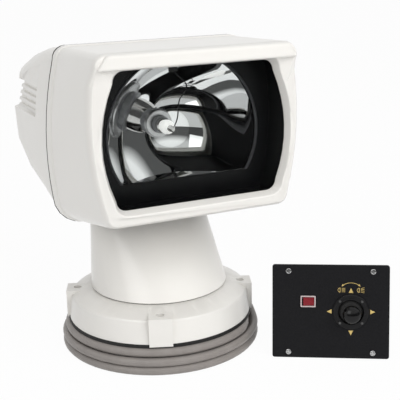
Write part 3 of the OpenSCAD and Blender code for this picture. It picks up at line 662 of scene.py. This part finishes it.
# The control panel: a black plate with a fine grain on a black box, held by four plated screws
# with cross slots, with the socket for the cable's plug at the back.
panel_spot, panel_turn, panel_lean, panel_face = (0.1304, -0.139, 0), -30.5, 11, 0.003
head_radius, head_rise, head_crown = 0.0029, 0.0017, 0.0009
blade_size, blade_turns = (0.0044, 0.0013, 0.0024), (20, 110)
screw_across, screw_low, screw_high = 0.0425, 0.006, 0.0895
grained, shader, place = new_finish("grained_black")
fill(
    shader,
    {
        "Base Color": place.blend(place.noise(900, 4), (0.001, 0.001, 0.0015, 1), (0.015, 0.015, 0.017, 1)),
        "Roughness": 0.42 + 0.12 * place.noise(500, 3),
        "Specular IOR Level": 0.16,
        "Normal": place.bump(place.noise(2600, 2), 0.00012, 0.6),
    },
)
take_over("panel_plate", grained, edge=0.0006, segments=3)
take_over("control_box", grained, edge=0.0006)
take_over("panel_socket", moulded, edge=0.0003)

panel_at = Matrix.Translation(panel_spot) @ Matrix.Rotation(radians(panel_turn), 4, "Z")
panel_at = panel_at @ Matrix.Rotation(radians(90 - panel_lean), 4, "X")
plated, shader, place = new_finish("plated_screw")
fill(
    shader,
    {
        "Base Color": place.blend(place.noise(600, 3), (0.42, 0.42, 0.42, 1), (0.6, 0.6, 0.6, 1)),
        "Metallic": 1.0,
        "Roughness": 0.08 + 0.08 * place.noise(900, 3),
    },
)
bpy.ops.object.select_all(action="DESELECT")
bpy.ops.mesh.primitive_cylinder_add(
    vertices=40, radius=head_radius, depth=head_rise, location=(0, 0, head_rise / 2)
)
screw = bpy.context.object
bpy.ops.object.transform_apply(location=True, rotation=True, scale=True)
crown = screw.modifiers.new("crown", "BEVEL")
crown.width, crown.segments, crown.limit_method = head_crown, 4, "ANGLE"
bpy.ops.object.modifier_apply(modifier=crown.name)
for turn in blade_turns:
    bpy.ops.mesh.primitive_cube_add(size=1, location=(0, 0, head_rise), rotation=(0, 0, radians(turn)))
    blade = bpy.context.object
    blade.scale = blade_size
    bpy.context.view_layer.objects.active = screw
    slot_cut = screw.modifiers.new("slot", "BOOLEAN")
    slot_cut.object, slot_cut.operation = blade, "DIFFERENCE"
    bpy.ops.object.modifier_apply(modifier=slot_cut.name)
    bpy.data.objects.remove(blade)
screw.data.materials.append(plated)
heads = []
for across, up in (
    (-screw_across, screw_low),
    (screw_across, screw_low),
    (-screw_across, screw_high),
    (screw_across, screw_high),
):
    head = bpy.data.objects.new("panel_screw", screw.data.copy())
    bpy.context.scene.collection.objects.link(head)
    head.data.transform(panel_at @ Matrix.Translation((across, up, panel_face)))
    heads.append(head)
bpy.data.objects.remove(screw)
bpy.ops.object.select_all(action="DESELECT")
for head in heads:
    head.select_set(True)
bpy.context.view_layer.objects.active = heads[0]
bpy.ops.object.join()
screws = bpy.context.object
screws.name = "panel_screw_heads"
bpy.ops.object.shade_smooth_by_angle(angle=radians(32))
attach(screws, "base")
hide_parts("panel_screws")


# The panel's printed marks: gold arrows for the joystick's four ways, and over them the bent
# double arrow with a narrow and a wide beam, for the knob's twist.
gold, shader, place = new_finish("gold_print")
fill(
    shader,
    {
        "Base Color": place.blend(place.noise(900, 3), (0.62, 0.44, 0.13, 1), (0.78, 0.6, 0.24, 1)),
        "Roughness": 0.4 + 0.15 * place.noise(1500, 2),
        "Metallic": 0.25,
    },
)
stick_at = Vector((0.0204, 0.0482))
print_depth = 0.00006

# The marks' own sizes, in millimetres from the joystick's middle.
arrow = ((19.4, -2.3), (24.3, 0), (19.4, 2.3))
bow_radius, bow_up, bow_half, bow_span = 14.0, 15.7, 0.25, 33
bow_tip = ((9.4, 26.0), (8.6, 28.4), (6.9, 26.9))
symbol_up, lamp_at, lamp_wide, lamp_high = 22.2, 2.4, 2.3, 2.4
lens = ((2.2, -lamp_high), (2.7, -lamp_high), (2.7, lamp_high), (2.2, lamp_high))
ray_from, ray_run, ray_gap, ray_half = 4, 3.6, 1.2, 0.2


def panel_mark(name, outline):
    """A thin raised piece on the panel's face, from its outline in millimetres."""
    bpy.ops.object.select_all(action="DESELECT")
    bpy.ops.mesh.primitive_circle_add(vertices=len(outline), fill_type="NGON")
    mark = bpy.context.object
    mark.name = name
    for corner, (across, up) in zip(mark.data.vertices, outline):
        corner.co = (stick_at.x + across / 1000, stick_at.y + up / 1000, panel_face)
    bpy.ops.object.mode_set(mode="EDIT")
    bpy.ops.mesh.select_all(action="SELECT")
    bpy.ops.mesh.extrude_region_move(TRANSFORM_OT_translate={"value": (0, 0, print_depth)})
    bpy.ops.mesh.select_all(action="SELECT")
    bpy.ops.mesh.normals_make_consistent(inside=False)
    bpy.ops.object.mode_set(mode="OBJECT")
    mark.data.transform(panel_at)
    mark.data.materials.append(gold)
    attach(mark, "base")


for name, turn in (("arrow_right", 0), ("arrow_up", 90), ("arrow_left", 180), ("arrow_down", 270)):
    c, s = cos(radians(turn)), sin(radians(turn))
    panel_mark(name, [(a * c - b * s, a * s + b * c) for a, b in arrow])
bow = []
for radius, span in (
    (bow_radius + bow_half, range(-bow_span, bow_span + 1, 3)),
    (bow_radius - bow_half, range(bow_span, -bow_span - 1, -3)),
):
    bow += [(radius * sin(radians(t)), bow_up + radius * cos(radians(t))) for t in span]
panel_mark("twist_bow", bow)
for name, side in (("twist_left", -1), ("twist_right", 1)):
    panel_mark(name, [(side * a, b) for a, b in bow_tip])
for name, left, spread in (("narrow_beam", -13.4, 0.0), ("wide_beam", 5.8, 0.16)):
    half = [(lamp_wide * cos(radians(t)), lamp_high * sin(radians(t))) for t in range(90, 271, 15)]
    inner = [(0.75 * a - 0.25, 0.72 * b) for a, b in reversed(half)]
    panel_mark(name + "_lamp", [(left + lamp_at + a, symbol_up + b) for a, b in half + inner])
    panel_mark(name + "_lens", [(left + a, symbol_up + b) for a, b in lens])
    start, end = left + ray_from, left + ray_from + ray_run
    for k in (-1.5, -0.5, 0.5, 1.5):
        rise = spread * k * ray_run
        low, high = symbol_up + ray_gap * k - ray_half, symbol_up + ray_gap * k + ray_half
        corners = [(start, low), (end, low + rise), (end, high + rise), (start, high)]
        panel_mark(f"{name}_ray_{k + 2.5:.0f}", corners)


# The power switch: a glossy red rocker of moulded plastic, which pivots in a pale bright frame
# that sits in the panel's plate.
red, shader, place = new_finish("red_rocker")
fill(
    shader,
    {
        "Base Color": place.blend(place.noise(200, 3), (0.17, 0.006, 0.012, 1), (0.24, 0.01, 0.018, 1)),
        "Roughness": 0.2 + 0.1 * place.noise(500, 2),
        "Coat Weight": 0.15,
        "Specular IOR Level": 0.3,
    },
)
pale, shader, place = new_finish("pale_frame")
fill(
    shader,
    {
        "Base Color": place.blend(place.noise(200, 3), (0.5, 0.42, 0.42, 1), (0.62, 0.54, 0.53, 1)),
        "Roughness": 0.3 + 0.1 * place.noise(500, 2),
    },
)
take_over("switch_frame", pale, edge=0.0003)
take_over("switch_rocker", red, edge=0.0006, segments=3)


# The joystick: a black flange with four dark screws, a cup and gimbal ring below it, the stick,
# its rubber boot and the turned knob.
dark_steel, shader, place = new_finish("dark_steel")
fill(
    shader,
    {
        "Base Color": place.blend(place.noise(300, 3), (0.1, 0.1, 0.1, 1), (0.2, 0.2, 0.2, 1)),
        "Metallic": 1.0,
        "Roughness": 0.3 + 0.15 * place.noise(900, 3),
    },
)
turned, shader, place = new_finish("turned_black")
fill(
    shader,
    {
        "Base Color": place.blend(place.noise(90, 3), (0.002, 0.002, 0.002, 1), (0.004, 0.004, 0.0045, 1)),
        "Roughness": 0.14 + 0.06 * place.noise(300, 3),
        "Specular IOR Level": 0.3,
    },
)
for name, finish in (
    ("joystick_flange", moulded),
    ("flange_screws", dark_steel),
    ("joystick_cup", moulded),
    ("gimbal_ring", cast),
    ("joystick_stick", steel),
    ("joystick_boot", rubber),
    ("joystick_knob", turned),
):
    take_over(name, finish, edge=0.0004)


# The studio: a pale floor that still takes the shadow, a white world with the dark side of the
# room behind the camera, which the mirror and the glass show, and two soft lamps.
floor_width, floor_glow, room_light, dark_side = 60, 0.96, 0.46, 0.9
aim = Vector((0, 0, 0.18))
bpy.ops.object.select_all(action="DESELECT")
bpy.ops.mesh.primitive_plane_add(size=floor_width)
floor = bpy.context.object
floor.name = "studio_floor"
paper, shader, place = new_finish("studio_paper")
fill(shader, {"Base Color": (0.9, 0.9, 0.9, 1), "Roughness": 0.9, "Specular IOR Level": 0.0})
tree = paper.node_tree
glow = Net(tree.nodes.new("ShaderNodeEmission").outputs[0])
rays = tree.nodes.new("ShaderNodeLightPath")
seen = Net(rays.outputs["Is Camera Ray"]) + Net(rays.outputs["Is Glossy Ray"])
lit = glow.node("MixShader", {}, {0: floor_glow * seen, 1: Net(shader.outputs[0]), 2: glow})
tree.links.new(lit.socket, tree.nodes["Material Output"].inputs["Surface"])
floor.data.materials.append(paper)

world = bpy.data.worlds.new("studio")
bpy.context.scene.world = world
world.use_nodes = True
tree = world.node_tree
rays = tree.nodes.new("ShaderNodeLightPath")
mirrored = Net(rays.outputs["Is Glossy Ray"])
seen = Net(rays.outputs["Is Camera Ray"]) + mirrored + Net(rays.outputs["Is Transmission Ray"])
heading = Net(tree.nodes.new("ShaderNodeTexCoord").outputs["Generated"])
ahead = heading.node("SeparateXYZ", {}, {0: heading}, out=1)
flag = ahead.node("MapRange", {}, {"Value": ahead, 1: -0.05, 2: -0.3, 3: 0.0, 4: dark_side})
up = heading.node("SeparateXYZ", {}, {0: heading}, out=2)
wall = up.node("MapRange", {}, {"Value": up, 1: 0.5, 2: 0.3, 3: 0.0, 4: 1.0})
light = room_light + (1 - room_light) * seen - mirrored * flag * wall
fill(tree.nodes["Background"], {"Color": (1, 1, 1, 1), "Strength": light})

for name, spot, size, power in (
    ("key", (0.55, -1.75, 1.38), 1.6, 28),
    ("side", (-1.5, -1.0, 1.3), 1.2, 8),
):
    data = bpy.data.lights.new(name, "AREA")
    data.size = size
    data.energy = power
    lamp = bpy.data.objects.new(name, data)
    bpy.context.scene.collection.objects.link(lamp)
    lamp.visible_glossy = name == "side"
    lamp.location = spot
    lamp.rotation_euler = (aim - Vector(spot)).to_track_quat("-Z", "Y").to_euler()

bpy.context.scene.view_settings.view_transform = "Standard"
